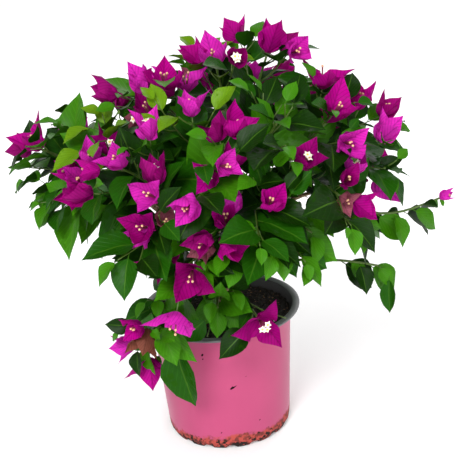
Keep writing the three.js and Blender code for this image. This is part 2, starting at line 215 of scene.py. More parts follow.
def wall_radius(level):
    """The radius of the pot's wall, which widens evenly from heel to shoulder."""
    climb = (level - HEEL_HEIGHT) / (SHOULDER_HEIGHT - HEEL_HEIGHT)
    return HEEL_RADIUS + (SHOULDER_RADIUS - HEEL_RADIUS) * climb


lip_inner = RIM_RADIUS - RIM_WIDTH
under_lip = POT_HEIGHT - RIM_THICKNESS
outer_profile = [
    (0.01, 3.2), (FOOT_RADIUS - 6, 3.2), (FOOT_RADIUS - 4.5, 0.4), (FOOT_RADIUS - 3.5, 0),
    (FOOT_RADIUS, 0), (FOOT_RADIUS + 2.0, 1.2), (FOOT_RADIUS + 3.7, 4), (FOOT_RADIUS + 4.5, 8),
    (HEEL_RADIUS, HEEL_HEIGHT), (HEEL_RADIUS + 0.3, HEEL_HEIGHT + 3),
    *[(wall_radius(level), level) for level in np.linspace(HEEL_HEIGHT + 11.4, SHOULDER_HEIGHT, 12)],
    (SHOULDER_RADIUS + 1.6, SHOULDER_HEIGHT + 6), (lip_inner - 0.6, under_lip - 1.2),
    (lip_inner + 0.6, under_lip),
]
rim_profile = [
    (lip_inner + 0.6, under_lip), (RIM_RADIUS - 1, under_lip), (RIM_RADIUS - 0.2, under_lip + 0.5),
    (RIM_RADIUS, POT_HEIGHT - RIM_THICKNESS / 2), (RIM_RADIUS - 0.3, POT_HEIGHT - 0.4),
    (RIM_RADIUS - 1.1, POT_HEIGHT), (RIM_RADIUS - 4, POT_HEIGHT - 0.2),
    (lip_inner + 1, POT_HEIGHT - 0.1), (lip_inner, POT_HEIGHT - 0.7),
]
inner_profile = [
    (lip_inner, POT_HEIGHT - 0.7), (lip_inner - 0.8, POT_HEIGHT - 4),
    (SHOULDER_RADIUS - POT_WALL, SHOULDER_HEIGHT),
    (SHOULDER_RADIUS - POT_WALL - 1, SHOULDER_HEIGHT - 10),
]

# Notches under the heel leave the feet between them.
wall = lathe(outer_profile, POT_SEGMENTS)
turns = np.arange(POT_SEGMENTS) * 2 * math.pi / POT_SEGMENTS
notched = np.clip((np.cos(turns * FEET) - 0.35) * 4, 0, 1)
wall[2:6, :, 2] += notched * NOTCH_HEIGHT * np.array([1, 1, 1, 0.8])[:, None]
wall[6, :, 2] += notched * 0.8

pot = Bundle()
for slot, rings in enumerate((wall, lathe(rim_profile, POT_SEGMENTS), lathe(inner_profile, POT_SEGMENTS))):
    pot.add(rings, grid_faces(len(rings), POT_SEGMENTS, True), slot)

PINK = (0.41, 0.058, 0.148)
RED_SOIL, DARK_SOIL, BLACK_CRUST = (0.36, 0.055, 0.038), (0.12, 0.024, 0.014), (0.012, 0.007, 0.005)
pink_plastic, shade = material("pot pink", PINK, 0.36, Specular_IOR_Level=0.22)
height = shade.of("ShaderNodeSeparateXYZ", 2, Vector=shade.of("ShaderNodeTexCoord", "Object")) * (1 / MM)
stained = (height - noise(shade, 45, 3) * 24 - noise(shade, 260, 3) * 12).step(0, -6)
caked = noise(shade, 210, 4).step(0.42, 0.62)
speckled = (noise(shade, 260, 4) * 30 + noise(shade, 60, 1) * 12 - height * 0.5).step(17.5, 19.5)
soil_tone = caked.mix(RED_SOIL, DARK_SOIL)
paint_tone = noise(shade, 14, 3).step(0.2, 0.8).mix(PINK, toned(PINK, 0.9))
soiled = (stained * 0.95).mix(paint_tone, soil_tone)
surface = surface_of(pink_plastic)
shade.feed(surface["Base Color"], speckled.mix(soiled, BLACK_CRUST))
shade.feed(surface["Roughness"], stained * 0.45 + 0.34)
shade.feed(surface["Normal"], bump(shade, noise(shade, 300, 3) * stained, 0.5, 0.0012))
grey_plastic, _ = material("pot lip", (0.11, 0.12, 0.12), 0.42)
# Painted shade: the grey inner wall above the compost is coloured near-black, as if in the shadow of the
# pot's mouth.
inner_wall_painted_shade, _ = material("pot inside painted shade", (0.012, 0.012, 0.012), 0.5)

pot_piece = pot.build("pot_shell", [pink_plastic, grey_plastic, inner_wall_painted_shade])
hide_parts("pot")
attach(pot_piece, "root")

# Scuffs. A few short black scratches and specks where the paint of the wall has been knocked. Each has
# a heading in degrees, a level, a width and a height.
SCUFFS = [
    (276, 78, 8.0, 3.4), (253, 118, 2.6, 3.2), (253, 113, 1.6, 1.6), (280, 119, 2.2, 0.8),
    (298, 30, 1.6, 1.5), (262, 22, 1.6, 1.4), (287, 88, 1.0, 0.8),
]
SCUFF_LIFT = 0.08
scuffs = Bundle()
for heading, level, width, tall in SCUFFS:
    radius = wall_radius(level) + SCUFF_LIFT
    centre = math.radians(heading)
    around = [
        (
            centre + width / 2 / radius * math.cos(a),
            level + (tall * math.sin(a) + 0.6 * width * math.cos(a)) / 2,
        )
        for a in np.linspace(0, 2 * math.pi, 9)[:-1]
    ]
    scuffs.add([(radius * math.cos(a), radius * math.sin(a), z) for a, z in around], [tuple(range(8))])
scuff_black, _ = material("scuff", (0.006, 0.004, 0.004), 0.8, Specular_IOR_Level=0.05)
scuff_piece = scuffs.build("pot_scuffs", [scuff_black])
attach(scuff_piece, "root")


# The compost. Dark peat a little below the lip, crumbly, with chips of bark and a grain of perlite.

COMPOST_LEVEL = 131
COMPOST_RADIUS = 74.5
COMPOST_RINGS, COMPOST_SEGMENTS, CRUMBS = 46, 150, 420


class Dice:
    """A die with a seed, so that the plant grows the same each time."""

    def __init__(self, seed):
        self.state = seed

    def roll(self, low, high):
        self.state = self.state * 48271 % 2147483647
        return low + (high - low) * self.state / 2147483647


dice = Dice(41)
compost = Bundle()
rings = [(radius, COMPOST_LEVEL - 1.5) for radius in np.linspace(0.2, COMPOST_RADIUS, COMPOST_RINGS)]
soil = lathe(rings, COMPOST_SEGMENTS)
lumps = np.array([[dice.roll(-1, 1) for _ in range(COMPOST_SEGMENTS)] for _ in rings])
lumps += np.roll(lumps, 1, 1) + np.roll(lumps, 1, 0) * 0.6
soil[:, :, 2] += lumps * 1.1
compost.add(soil, grid_faces(len(rings), COMPOST_SEGMENTS, True), 0)
for k in range(CRUMBS):
    reach = COMPOST_RADIUS * math.sqrt(dice.roll(0.02, 0.97))
    turn = dice.roll(0, 2 * math.pi)
    size = dice.roll(0.7, 1.7)
    slot = 3 if k % 70 == 0 else 1 + k % 2
    flat = 0.9 if slot == 3 else dice.roll(0.2, 0.5)
    height = COMPOST_LEVEL + dice.roll(-0.2, 0.9)
    centre = np.array([reach * math.cos(turn), reach * math.sin(turn), height])
    spin = dice.roll(0, 6)
    corners = [
        (
            math.cos(spin + a) * size * dice.roll(0.6, 1.4),
            math.sin(spin + a) * size * dice.roll(0.6, 1.0),
            0,
        )
        for a in (0, 2.1, 4.2)
    ]
    corners += [(0, 0, size * flat), (0, 0, -size * flat)]
    faces = [(0, 1, 3), (1, 2, 3), (2, 0, 3), (1, 0, 4), (2, 1, 4), (0, 2, 4)]
    compost.add(centre + np.array(corners), faces, slot)

peat, shade = material("compost", (0.009, 0.006, 0.004), 0.95)
shade.feed(surface_of(peat)["Normal"], bump(shade, noise(shade, 900, 4), 0.6, 0.002))
chip_brown, _ = material("bark chips", (0.045, 0.022, 0.010), 0.85)
chip_tan, _ = material("straw", (0.16, 0.085, 0.032), 0.8)
perlite, _ = material("perlite", (0.75, 0.73, 0.68), 0.8)
compost_piece = compost.build("compost_surface", [peat, chip_brown, chip_tan, perlite], smooth=False)
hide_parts("compost")
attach(compost_piece, "root")


# Trunk and boughs. A short woody trunk flares at the compost and forks into arching boughs, tan and
# rough below, green where they are young. Each shoot of the tables ends in a mass of leaves.

TRUNK_FOOT = Vector((0, 0, COMPOST_LEVEL + 0.3))
TRUNK_HEIGHT = 82
TRUNK_FORK = TRUNK_FOOT + Vector((7, -5, TRUNK_HEIGHT))
FLARE_RADIUS, COLLAR_RADIUS, FORK_RADIUS, FLARE_HEIGHT = 13, 8.5, 7, 12
LEADER_RADIUS, BOUGH_RADIUS, BOUGH_TIP_RADIUS = 3.6, 2.5, 1.7
BOUGH_SHARE, LEADER_SHARE, BARE_SHARE = 0.42, 0.6, 0.35
LEADER_HEIGHTS = [74, 54, 66, 56, 68, 58, 64]
HEAD_ROOM = 30  # between the end of a limb's line and the far end of its mass

# Name, heading in degrees from +X, reach and height of the tip, how richly it blooms, size of the
# leaves and seed. The first shoot of each list is the end of a main bough, which carries the others.
LEADERS = [
    [
        ("summit", 350, 78, 440, 2, 0.8, 1),
        ("summit_back", 95, 76, 396, 2, 0.9, 2),
        ("crest", 305, 32, 434, 2, 0.8, 25),
        ("top_left", 226, 84, 420, 3, 0.9, 103),
    ],
    [
        ("left_far", 189, 188, 354, 2, 0.9, 4),
        ("left_low", 212, 172, 328, 3, 1, 205),
        ("left_high", 218, 150, 368, 4, 1, 6),
        ("back_left", 160, 176, 334, 2, 1, 7),
    ],
    [
        ("front_left", 249, 188, 308, 3, 1, 8),
        ("left", 238, 168, 362, 4, 1, 10),
    ],
    [
        ("front", 275, 176, 304, 2, 1, 11),
        ("front_high", 273, 162, 366, 3, 1, 12),
        ("top_front", 264, 122, 404, 1, 0.9, 13),
    ],
    [
        ("front_right", 289, 188, 318, 2, 1, 14),
        ("right_front", 308, 180, 272, 0, 1, 15),
        ("top_right", 302, 148, 394, 4, 0.9, 16),
    ],
    [
        ("right", 343, 200, 342, 4, 0.9, 17),
        ("right_low", 318, 192, 306, 2, 1, 18),
        ("shoulder_right", 327, 164, 384, 4, 0.9, 19),
        ("trail_right", 350, 262, 262, 0, 0.6, 20),
    ],
    [
        ("back", 92, 194, 330, 3, 1, 221),
        ("back_right", 40, 184, 336, 3, 1, 22),
        ("back_right_low", 12, 198, 292, 2, 1, 223),
        ("back_left_low", 132, 196, 290, 3, 1, 24),
        ("back_high", 58, 122, 380, 3, 1, 9),
    ],
]

# Shoots that rise straight from the trunk, with the height at which they leave it as the last figure.
BASAL_SHOOTS = [
    ("low_left", 230, 140, 270, 0, 1, 26, 36),
    ("front_low", 262, 176, 262, 2, 1, 127, 44),
    ("over_rim_left", 233, 158, 168, 2, 0.8, 128, 20),
    ("over_rim_front", 268, 118, 168, 0.5, 1, 29, 28),
    ("over_rim_right", 289, 142, 160, 0.5, 0.7, 30, 18),
    ("trail_right_low", 336, 206, 200, 0, 0.8, 31, 30),
    ("back_low", 72, 190, 222, 2, 1, 32, 40),
]


UP = Vector((0, 0, 1))


class Arch:
    """A limb's line from root to tip. It rises at first, and more so the lower its tip lies."""

    def __init__(self, root, tip):
        span = tip - root
        self.root = root
        self.bend = root.lerp(tip, 0.45) + UP * (0.27 * span.length - 0.15 * span.z)
        self.tip = tip
        self.line = [self.point(k / 12) for k in range(13)]
        self.length = sum((b - a).length for a, b in zip(self.line, self.line[1:]))

    def point(self, t):
        return self.root * (1 - t) ** 2 + self.bend * (2 * t * (1 - t)) + self.tip * t * t


class Limb:
    """One shoot of the tables, with its line, the share of it that is bare, and how far its mass goes."""

    def __init__(self, row, start, share, root_radius):
        self.name, heading, reach, level, self.blooms, self.leaf_size, self.seed = row[:7]
        far = Vector((reach, 0, level))
        far.rotate(Quaternion(UP, math.radians(heading)))
        self.aim = (far - TRUNK_FORK).normalized()
        self.reach = reach
        self.arch = Arch(start, far - self.aim * HEAD_ROOM)
        self.limit = far.dot(self.aim)
        self.share = share
        self.root_radius = root_radius


def on_trunk(level):
    """The middle of the trunk at a level above the compost."""
    return TRUNK_FOOT.lerp(TRUNK_FORK, level / TRUNK_HEIGHT)


limbs = []
for (own, *side_shoots), level in zip(LEADERS, LEADER_HEIGHTS):
    leader = Limb(own, on_trunk(level), LEADER_SHARE, LEADER_RADIUS)
    limbs.append(leader)
    for k, row in enumerate(side_shoots):
        t = LEADER_SHARE * (0.92 - 0.5 * (k + 0.5) / len(side_shoots))
        limbs.append(Limb(row, leader.arch.point(t), BOUGH_SHARE, BOUGH_RADIUS))
for row in BASAL_SHOOTS:
    limbs.append(Limb(row, on_trunk(row[7]), BARE_SHARE, BOUGH_TIP_RADIUS + 0.3))


def tube(bundle, line, radii, sides, slot, relief=0.0, dice=None):
    """A limb through points, with a radius at each and a little relief, closed at both ends."""
    rings = []
    side = (line[1] - line[0]).orthogonal().normalized()
    for k, centre in enumerate(line):
        ahead = (line[min(k + 1, len(line) - 1)] - line[max(k - 1, 0)]).normalized()
        side = (side - ahead * side.dot(ahead)).normalized()
        over = ahead.cross(side)
        for j in range(sides):
            angle = 2 * math.pi * j / sides
            radius = radii[k] * (1 + (dice.roll(-relief, relief) if relief else 0))
            rings.append(centre + (side * math.cos(angle) + over * math.sin(angle)) * radius)
    last = len(rings) - sides
    caps = [tuple(range(sides))[::-1], tuple(range(last, last + sides))]
    bundle.add([tuple(p) for p in rings], grid_faces(len(line), sides, True) + caps, slot)


def thorn(bundle, point, ahead, out, length, slot):
    """A short thorn that leans a little towards the tip of its bough."""
    tip = point + (out * 0.9 + ahead * 0.4).normalized() * length
    side = ahead.cross(out).normalized()
    base = [point + ahead * 0.9, point + side * 0.6 - ahead * 0.5, point - side * 0.6 - ahead * 0.5]
    bundle.add([tuple(p) for p in [*base, tip]], [(0, 1, 3), (1, 2, 3), (2, 0, 3)], slot)


wood = Bundle()
dice = Dice(77)
levels = [0, 1, 2.5, 5, 8.5, 12, *np.arange(16, TRUNK_HEIGHT, 4), TRUNK_HEIGHT, TRUNK_HEIGHT + 2.4]
radii = []
for level in levels:
    rise = min(level / FLARE_HEIGHT, 1)
    flare = FLARE_RADIUS + (COLLAR_RADIUS - FLARE_RADIUS) * math.sqrt(rise * (2 - rise))
    climb = max(level - FLARE_HEIGHT, 0) / (TRUNK_HEIGHT - FLARE_HEIGHT)
    radii.append(flare + (FORK_RADIUS - COLLAR_RADIUS) * climb)
radii[-1] *= 0.6
tube(wood, [on_trunk(level) for level in levels], radii, 22, 0, 0.06, dice)
BOUGH_STEPS = 30
woody = int(BOUGH_STEPS * 0.7)  # the rest is still green
climbs = [k / BOUGH_STEPS for k in range(BOUGH_STEPS + 1)]
for limb in limbs:
    line = [limb.arch.point(limb.share * 1.02 * climb) for climb in climbs]
    radii = [limb.root_radius + (BOUGH_TIP_RADIUS - limb.root_radius) * climb for climb in climbs]
    tube(wood, line[: woody + 1], radii[: woody + 1], 10, 0, 0.08, dice)
    tube(wood, line[woody:], radii[woody:], 10, 1, 0.03, dice)
    for k in range(4, BOUGH_STEPS, 5):
        ahead = (line[k + 1] - line[k]).normalized()
        out = ahead.cross(UP).normalized()
        out.rotate(Quaternion(ahead, dice.roll(0, 6.28)))
        thorn(wood, line[k] + out * radii[k] * 0.8, ahead, out, dice.roll(4, 7), 0)

bark, shade = material("bark", (0.20, 0.125, 0.06), 0.8)
grain = noise(shade, 420, 5)
bark_tone = grain.step(0.35, 0.65).mix((0.13, 0.08, 0.04), (0.30, 0.21, 0.11))
shade.feed(surface_of(bark)["Base Color"], bark_tone)
shade.feed(surface_of(bark)["Normal"], bump(shade, grain, 0.5, 0.001))
green_bark, _ = material("green bark", (0.16, 0.22, 0.05), 0.55)
wood_piece = wood.build("trunk_and_boughs", [bark, green_bark])
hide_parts("trunk", *[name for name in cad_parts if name.startswith("bough_")])
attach(wood_piece, "root")


# Shoots. Each limb ends in a leafy stem with side twigs, and the longer twigs bear twiglets. All
# keep to the space nearest to their own limb.

CROWN_CENTRE = Vector((0, 0, 262))
STEM_STEPS = 14
TWIG_RADIUS = 0.85
GOLDEN_TURN = math.radians(137.5)  # from one leaf to the next
TWIG_LENGTHS = [68, 51, 34, 24]
TWIGLET_LENGTHS = [30, 20]
TWIG_SPACING, LONG_TWIG = 15, 40  # twigs longer than this bear twiglets
SPACE_MARGIN = 2.2  # how much nearer its own limb a twig keeps than any other

# Long young shoots without side twigs, and how far they sag between their ends.
TRAILING_SHOOTS = {"trail_right": 30, "trail_right_low": 3}


def line_distance(points, line):
    """The distance of each point from a line of points."""
    a = np.array(line[:-1])[None]
    step = np.array(line[1:])[None] - a
    gap = np.asarray(points, float)[:, None] - a
    share = np.clip((gap * step).sum(2) / (step**2).sum(2), 0, 1)
    return np.linalg.norm(gap - step * share[..., None], axis=2).min(1)


POT_CLEARANCE, FLOOR_CLEARANCE = 3, 6


def clear_of_pot(points):
    """Whether all points clear the pot and the floor."""
    points = np.asarray(points, float)
    over_pot = np.hypot(points[:, 0], points[:, 1]) < RIM_RADIUS + POT_CLEARANCE
    too_low = over_pot & (points[:, 2] < POT_HEIGHT + POT_CLEARANCE)
    return not np.any(too_low) and points[:, 2].min() > FLOOR_CLEARANCE


def in_space(points, limb):
    """Whether points are within the reach of a limb and nearer to it than to any other."""
    if not clear_of_pot(points) or any(limb.aim.dot(p) > limb.limit for p in points):
        return False
    own = line_distance(points, limb.arch.line) + SPACE_MARGIN
    if np.any(line_distance(points, [TRUNK_FOOT, TRUNK_FORK]) < own + FORK_RADIUS):
        return False
    return all(other is limb or np.all(line_distance(points, other.arch.line) > own) for other in limbs)


def spoke(axis, angle):
    """A direction square to an axis, turned round it by an angle."""
    beside = UP if abs(axis.z) < 0.9 else Vector((1, 0, 0))
    side = axis.cross(beside).normalized()
    side.rotate(Quaternion(axis, angle))
    return side


def outward(point):
    """Which way the outside of the crown lies from a point."""
    return (point - CROWN_CENTRE).normalized()


def mixed(*pairs):
    """The direction of a sum of vectors, each with a weight."""
    return sum((vector * weight for vector, weight in pairs), Vector()).normalized()


class Shoot:
    """A stretch of stem with nodes along it. Order 0 is a limb's own stem, 1 a twig, 2 a twiglet."""

    def __init__(self, limb, order, points, radius, flowers):
        self.limb = limb
        self.order = order
        self.points = points
        self.radius = radius
        self.flowers = flowers
        self.length = sum((b - a).length for a, b in zip(points, points[1:]))
        self.ahead = (points[-1] - points[-2]).normalized()
        self.last_used = 0  # how far along it its last leaf, side shoot or head stands
        self.in_bloom = False  # whether it bears a head

    def at(self, t):
        """The point at a share of its length, and which way it runs there."""
        k = min(int(t * (len(self.points) - 1)), len(self.points) - 2)
        here, there = self.points[k], self.points[k + 1]
        return here.lerp(there, t * (len(self.points) - 1) - k), (there - here).normalized()


def side_shoot(parent, t, turn, lengths, radius, flowers):
    """A twig that leaves its parent at a slant and curves up a little, if its space has room for it."""
    point, ahead = parent.at(t)
    aim = mixed((spoke(ahead, turn), 0.75), (ahead, 0.5), (outward(point), 0.7))
    for length in lengths:
        end = point + aim * length
        if in_space([point.lerp(end, share) for share in (0.4, 0.7, 1)], parent.limb):
            bow = mixed((UP, 1), (aim, -aim.z)) * length * 0.05
            points = [point, point.lerp(end, 0.35) - bow, point.lerp(end, 0.7) - bow * 0.6, end]
            return Shoot(parent.limb, parent.order + 1, points, radius, flowers)
    return None


shoots = []
climbs = [k / STEM_STEPS for k in range(STEM_STEPS + 1)]
for limb in limbs:
    dice = Dice(limb.seed)
    share = limb.share * 0.9
    sag = UP * TRAILING_SHOOTS.get(limb.name, 0)
    line = [limb.arch.point(share + (1 - share) * t) - sag * math.sin(math.pi * t) for t in climbs]
    stem = Shoot(limb, 0, line, BOUGH_TIP_RADIUS, limb.blooms)
    shoots.append(stem)
    nodes = max(int(stem.length * limb.leaf_size / TWIG_SPACING), 1)
    first_turn = dice.roll(0, 2 * math.pi)
    for k in range(0 if limb.name in TRAILING_SHOOTS else nodes):
        turn = first_turn + k * GOLDEN_TURN * 1.5
        place = 1 - (k + 0.6) / (nodes + 0.4)
        twig = side_shoot(stem, place, turn, TWIG_LENGTHS, TWIG_RADIUS, k < limb.blooms * 2 - 1)
        if not twig:
            continue
        shoots.append(twig)
        stem.last_used = max(stem.last_used, place)
        if twig.length > LONG_TWIG:
            for t, spin in ((0.45, 1), (0.7, 3.6)):
                blooms = twig.flowers and t > 0.5
                twiglet = side_shoot(twig, t, turn + spin, TWIGLET_LENGTHS, TWIG_RADIUS * 0.8, blooms)
                if twiglet:
                    shoots.append(twiglet)
                    twig.last_used = t


# Blossom. Three papery magenta bracts stand round three thin tubes like a lantern, and some tubes
# open into a small cream star. The heads stand singly or in twos and threes at the ends of shoots.

BRACT_LENGTH = (31, 41)
BRACT_BREADTH = 0.71
FADED_HEADS = 13  # one head in so many has faded to a dusty pink and shrunk


class Blade:
    """A leaf or bract: where it is rooted, which way it points and faces, its size and its curves."""

    def __init__(self, root, ahead, facing, length, breadth, fold, drop, belly, wave, phase, twist):
        self.root = root
        self.ahead = ahead
        self.face = (facing - ahead * facing.dot(ahead)).normalized()
        self.face.rotate(Quaternion(ahead, twist))
        self.side = ahead.cross(self.face)
        self.length, self.breadth = length, breadth
        self.fold, self.drop, self.belly, self.wave, self.phase = fold, drop, belly, wave, phase
        middle = self.at(0.45, 0)
        self.corners = [self.at(0.15, 0), self.at(0.45, 1), self.at(1, 0), self.at(0.45, -1), middle]
        edges = [self.at(0.72, 0.6), self.at(0.72, -0.6), self.at(0.3, 0.8), self.at(0.3, -0.8)]
        self.samples = self.corners + edges
        self.middle = middle
        self.tree = BVHTree.FromPolygons(self.corners, [(0, 1, 4), (1, 2, 4), (2, 3, 4), (3, 0, 4)])

    def at(self, along, across):
        """A point of the blade, from 0 to 1 along it and from -1 to 1 across."""
        rise = self.fold * abs(across) - self.drop * along**2 - self.belly * math.sin(math.pi * along)
        return (
            self.root
            + self.ahead * along * self.length
            + self.side * across * self.breadth / 2 * self.length
            + self.face * rise * self.length
        )


CROWN_REACH, CROWN_TOP = 204, 449  # no blade goes further out or up
BLADE_RANGE, WOOD_RANGE = 62, 45  # no blade meets another, or wood, whose middle is further away
LEAF_SHORTFALL = 7  # how far leaves stop short of the end of their mass
TRAILING_LEAF_OVERREACH = 8  # the small leaves at the tips of the trailing shoots
# How far heads stand past that end, or short of it. The rest stop level with it.
HEAD_OVERREACH = {
    "summit": 7, "crest": 7, "top_left": 9, "left_far": 7, "right": 8, "right_low": 7, "front_low": 7,
    "shoulder_right": 3, "over_rim_right": 12, "trail_right": 8,
    "over_rim_left": -4, "top_right": -14, "left_high": -14,
}

# Leaves keep out of the space before the pot's mouth and to the right of it. Only the shoots that lean
# over the lip have leaves in front.
WINDOW_TOP = 222
WINDOW_FRONT, WINDOW_BACK = -40, 40
WINDOW_LEFT, WINDOW_RIGHT = 38, 125


def in_window(p, limb):
    """Whether a point lies in the space that the leaves of a limb keep out of."""
    if p.z > WINDOW_TOP:
        return False
    in_front = p.y < WINDOW_FRONT and abs(p.x) < WINDOW_RIGHT and not limb.name.startswith("over_rim")
    return in_front or WINDOW_LEFT < p.x < WINDOW_RIGHT and p.y < WINDOW_BACK


class Foliage:
    """All blades that are already placed, and the wood they must not cross."""

    def __init__(self):
        self.blades = []
        self.middles = np.zeros((0, 3))
        self.segments = []
        self.segment_middles = np.zeros((0, 3))

    def add_wood(self, points):
        self.segments += list(zip(points, points[1:]))
        self.segment_middles = np.array([(a + b) / 2 for a, b in self.segments])

    def is_free(self, blade):
        """Whether a blade crosses no other blade, no wood and nothing of the pot."""
        if not clear_of_pot(blade.samples):
            return False
        near = np.linalg.norm(self.middles - blade.middle, axis=1) < BLADE_RANGE
        if any(blade.tree.overlap(self.blades[k].tree) for k in np.nonzero(near)[0]):
            return False
        near = np.linalg.norm(self.segment_middles - blade.middle, axis=1) < WOOD_RANGE
        for k in np.nonzero(near)[0]:
            a, b = self.segments[k]
            if blade.tree.ray_cast(a, (b - a).normalized(), (b - a).length)[0] is not None:
                return False
        return True

    def place(self, blades, limb):
        """Keeps the blades if none crosses anything or leaves the reach of its limb's mass."""
        is_head = len(blades) > 1
        leaf_past = TRAILING_LEAF_OVERREACH if limb.name in TRAILING_SHOOTS else -LEAF_SHORTFALL
        past = HEAD_OVERREACH.get(limb.name, 0) if is_head else leaf_past
        for blade in blades:
            for p in blade.samples:
                if limb.aim.dot(p) > limb.limit + past or p.z > CROWN_TOP:
                    return False
                if math.hypot(p.x, p.y) > max(limb.reach + 6, CROWN_REACH):
                    return False
        if not is_head and any(in_window(p, limb) for p in blades[0].samples):
            return False
        if not all(self.is_free(blade) for blade in blades):
            return False
        self.blades += blades
        self.middles = np.array([b.middle for b in self.blades])
        return True


foliage = Foliage()
for shoot in shoots:
    foliage.add_wood(shoot.points)
for limb in limbs:
    foliage.add_wood([limb.arch.point(limb.share * k / 6) for k in range(7)])

# How wide a bract is at shares of its length, as a share of its greatest width.
OUTLINE_BRACT = [
    (0, 0.06), (0.03, 0.36), (0.08, 0.62), (0.15, 0.82), (0.24, 0.95), (0.34, 1), (0.45, 0.97),
    (0.56, 0.86), (0.66, 0.69), (0.76, 0.47), (0.85, 0.27), (0.93, 0.11), (1, 0),
]


RIB = 0.04  # the midrib's share of the width


def sheet(blade, outline, thickness, stalk=0):
    """The two skins of a blade: points, faces, for each face whether it is a rib or underneath, and
    for each point its place across and along the blade."""
    across = [-1, -0.78, -0.42, -RIB, RIB, 0.42, 0.78, 1]
    skins = []
    places = []
    for lower in (0, 1):
        for along, wide in outline:
            for v in across:
                p = v * wide
                ripple = blade.wave * p * p * math.sin(blade.phase + 13 * along + 2 * v)
                crease = 0.008 * math.sin(2 * blade.phase + 14 * along + 5 * p) * (1 - abs(v))
                rise = blade.fold * (0.55 * abs(p) + 0.45 * p * p) - blade.drop * along**2.5
                rise += ripple + crease - blade.belly * math.sin(math.pi * along**0.8)
                places.append((abs(p), along, blade.phase))
                skins.append(
                    blade.root
                    + blade.ahead * (along * blade.length)
                    + blade.side * (p * blade.breadth / 2 * blade.length)
                    + blade.face * (rise * blade.length - lower * thickness * (1 - abs(v) * 0.7))
                )
    count = len(outline) * len(across)
    top = grid_faces(len(outline), len(across))
    under = [tuple(v + count for v in face[::-1]) for face in top]
    strips = len(across) - 1
    kinds = [1 if k % strips == strips // 2 or k < strips * stalk else 0 for k in range(len(top))]
    return [tuple(p) for p in skins], top + under, kinds + [2] * len(under), places


heads = []


def is_faded(number):
    """Whether the head of this number is a faded one."""
    return number % FADED_HEADS == 4


def grow_head(limb, point, ahead, dice, share=1):
    """A triad of bracts, narrower or turned where an open one has no room."""
    size = dice.roll(*BRACT_LENGTH) * share * (0.75 if is_faded(len(heads)) else 1)
    opening = math.radians(dice.roll(10, 50))
    turn = dice.roll(0, 2 * math.pi)
    phases = [dice.roll(0, 6) for _ in range(3)]
    tries = ((opening, 0, 1), (opening, 1, 1), (0.5, 0, 1), (0.45, 1, 0.9), (0.4, 0.5, 0.8))
    for spread, shift, scale in tries:
        bracts = []
        for k in range(3):
            side = spoke(ahead, turn + shift + k * 2 * math.pi / 3)
            aim = mixed((ahead, math.cos(spread)), (side, math.sin(spread)))
            inward = mixed((ahead, math.sin(spread)), (side, -math.cos(spread)))
            foot = point + side * 0.6
            length = size * scale * (1 + 0.1 * math.cos(3 * phases[k]))
            drop = 0.10 + 0.19 * math.sin(phases[k])
            curves = (0.24, drop, 0.12, 0.09, phases[k], 0.4 * math.cos(phases[k]))
            bracts.append(Blade(foot, aim, inward, length, BRACT_BREADTH, *curves))
        if foliage.place(bracts, limb):
            heads.append((point, ahead, bracts, limb))
            return True
    return False


# Below the head at its end a shoot bears others on short stalks: more on a stem than on a twig, and
# more where the limb is rich in bloom.
HEAD_SPACING = 6
stalks = []
for shoot in shoots:
    if not shoot.flowers:
        continue
    dice = Dice(shoot.limb.seed * 31 + 7 * len(heads) + 5)
    end = shoot.points[-1]
    most = int(min(3 - shoot.order, shoot.limb.blooms))
    stalked = most + 1 if most else 0
    turn = dice.roll(0, 2 * math.pi)
    lift = 0.15 if shoot.limb.name.startswith("over_rim") or dice.roll(0, 1) < 0.35 else 0.9
    if grow_head(shoot.limb, end, mixed((shoot.ahead, 1), (UP, lift)), dice):
        shoot.last_used = 1
        shoot.in_bloom = True
    for k in range(1, stalked + 1):
        base = end - shoot.ahead * HEAD_SPACING * k
        side = spoke(shoot.ahead, turn + k * 2.4)
        aim = mixed((shoot.ahead, 0.7), (side, 0.9), (outward(end), 0.4), (UP, lift * 0.7))
        for reach in (dice.roll(16, 28), 10):
            top = base + aim * reach
            if grow_head(shoot.limb, top, aim, dice):
                shoot.last_used = max(shoot.last_used, 1 - HEAD_SPACING * k / shoot.length)
                shoot.in_bloom = True
                stalks.append([base, base.lerp(top, 0.5) - UP * 0.8, top])
                foliage.add_wood(stalks[-1])
                break

# The longer trailing shoot ends in a single small head.
for shoot in shoots:
    if shoot.limb.name == "trail_right":
        shoot.last_used = 1
        grow_head(shoot.limb, shoot.points[-1], shoot.ahead, Dice(3), 0.55)

# The first three colours are dealt out in turn, the fourth is a faded head's and the last a young one's.
BRACT_COLOURS = [
    (0.53, 0.001, 0.30), (0.37, 0.001, 0.19), (0.76, 0.030, 0.54), (0.40, 0.11, 0.16), (0.27, 0.085, 0.055),
]
FADED, YOUNG = 3, 4
blossom = Bundle()
for k, (point, ahead, bracts, limb) in enumerate(heads):
    tint = k * 7 % 3
    if is_faded(k) and limb.name not in TRAILING_SHOOTS:
        tint = FADED
    if limb.name == "over_rim_left" and k % 3 == 1:
        tint = YOUNG
    for blade in bracts:
        points, faces, kinds, places = sheet(blade, OUTLINE_BRACT, 0.2)
        blossom.add(points, faces, [tint * 2 + (kind == 2) for kind in kinds], places)

SIDE_VEINS = 7  # on each side of a blade's midrib


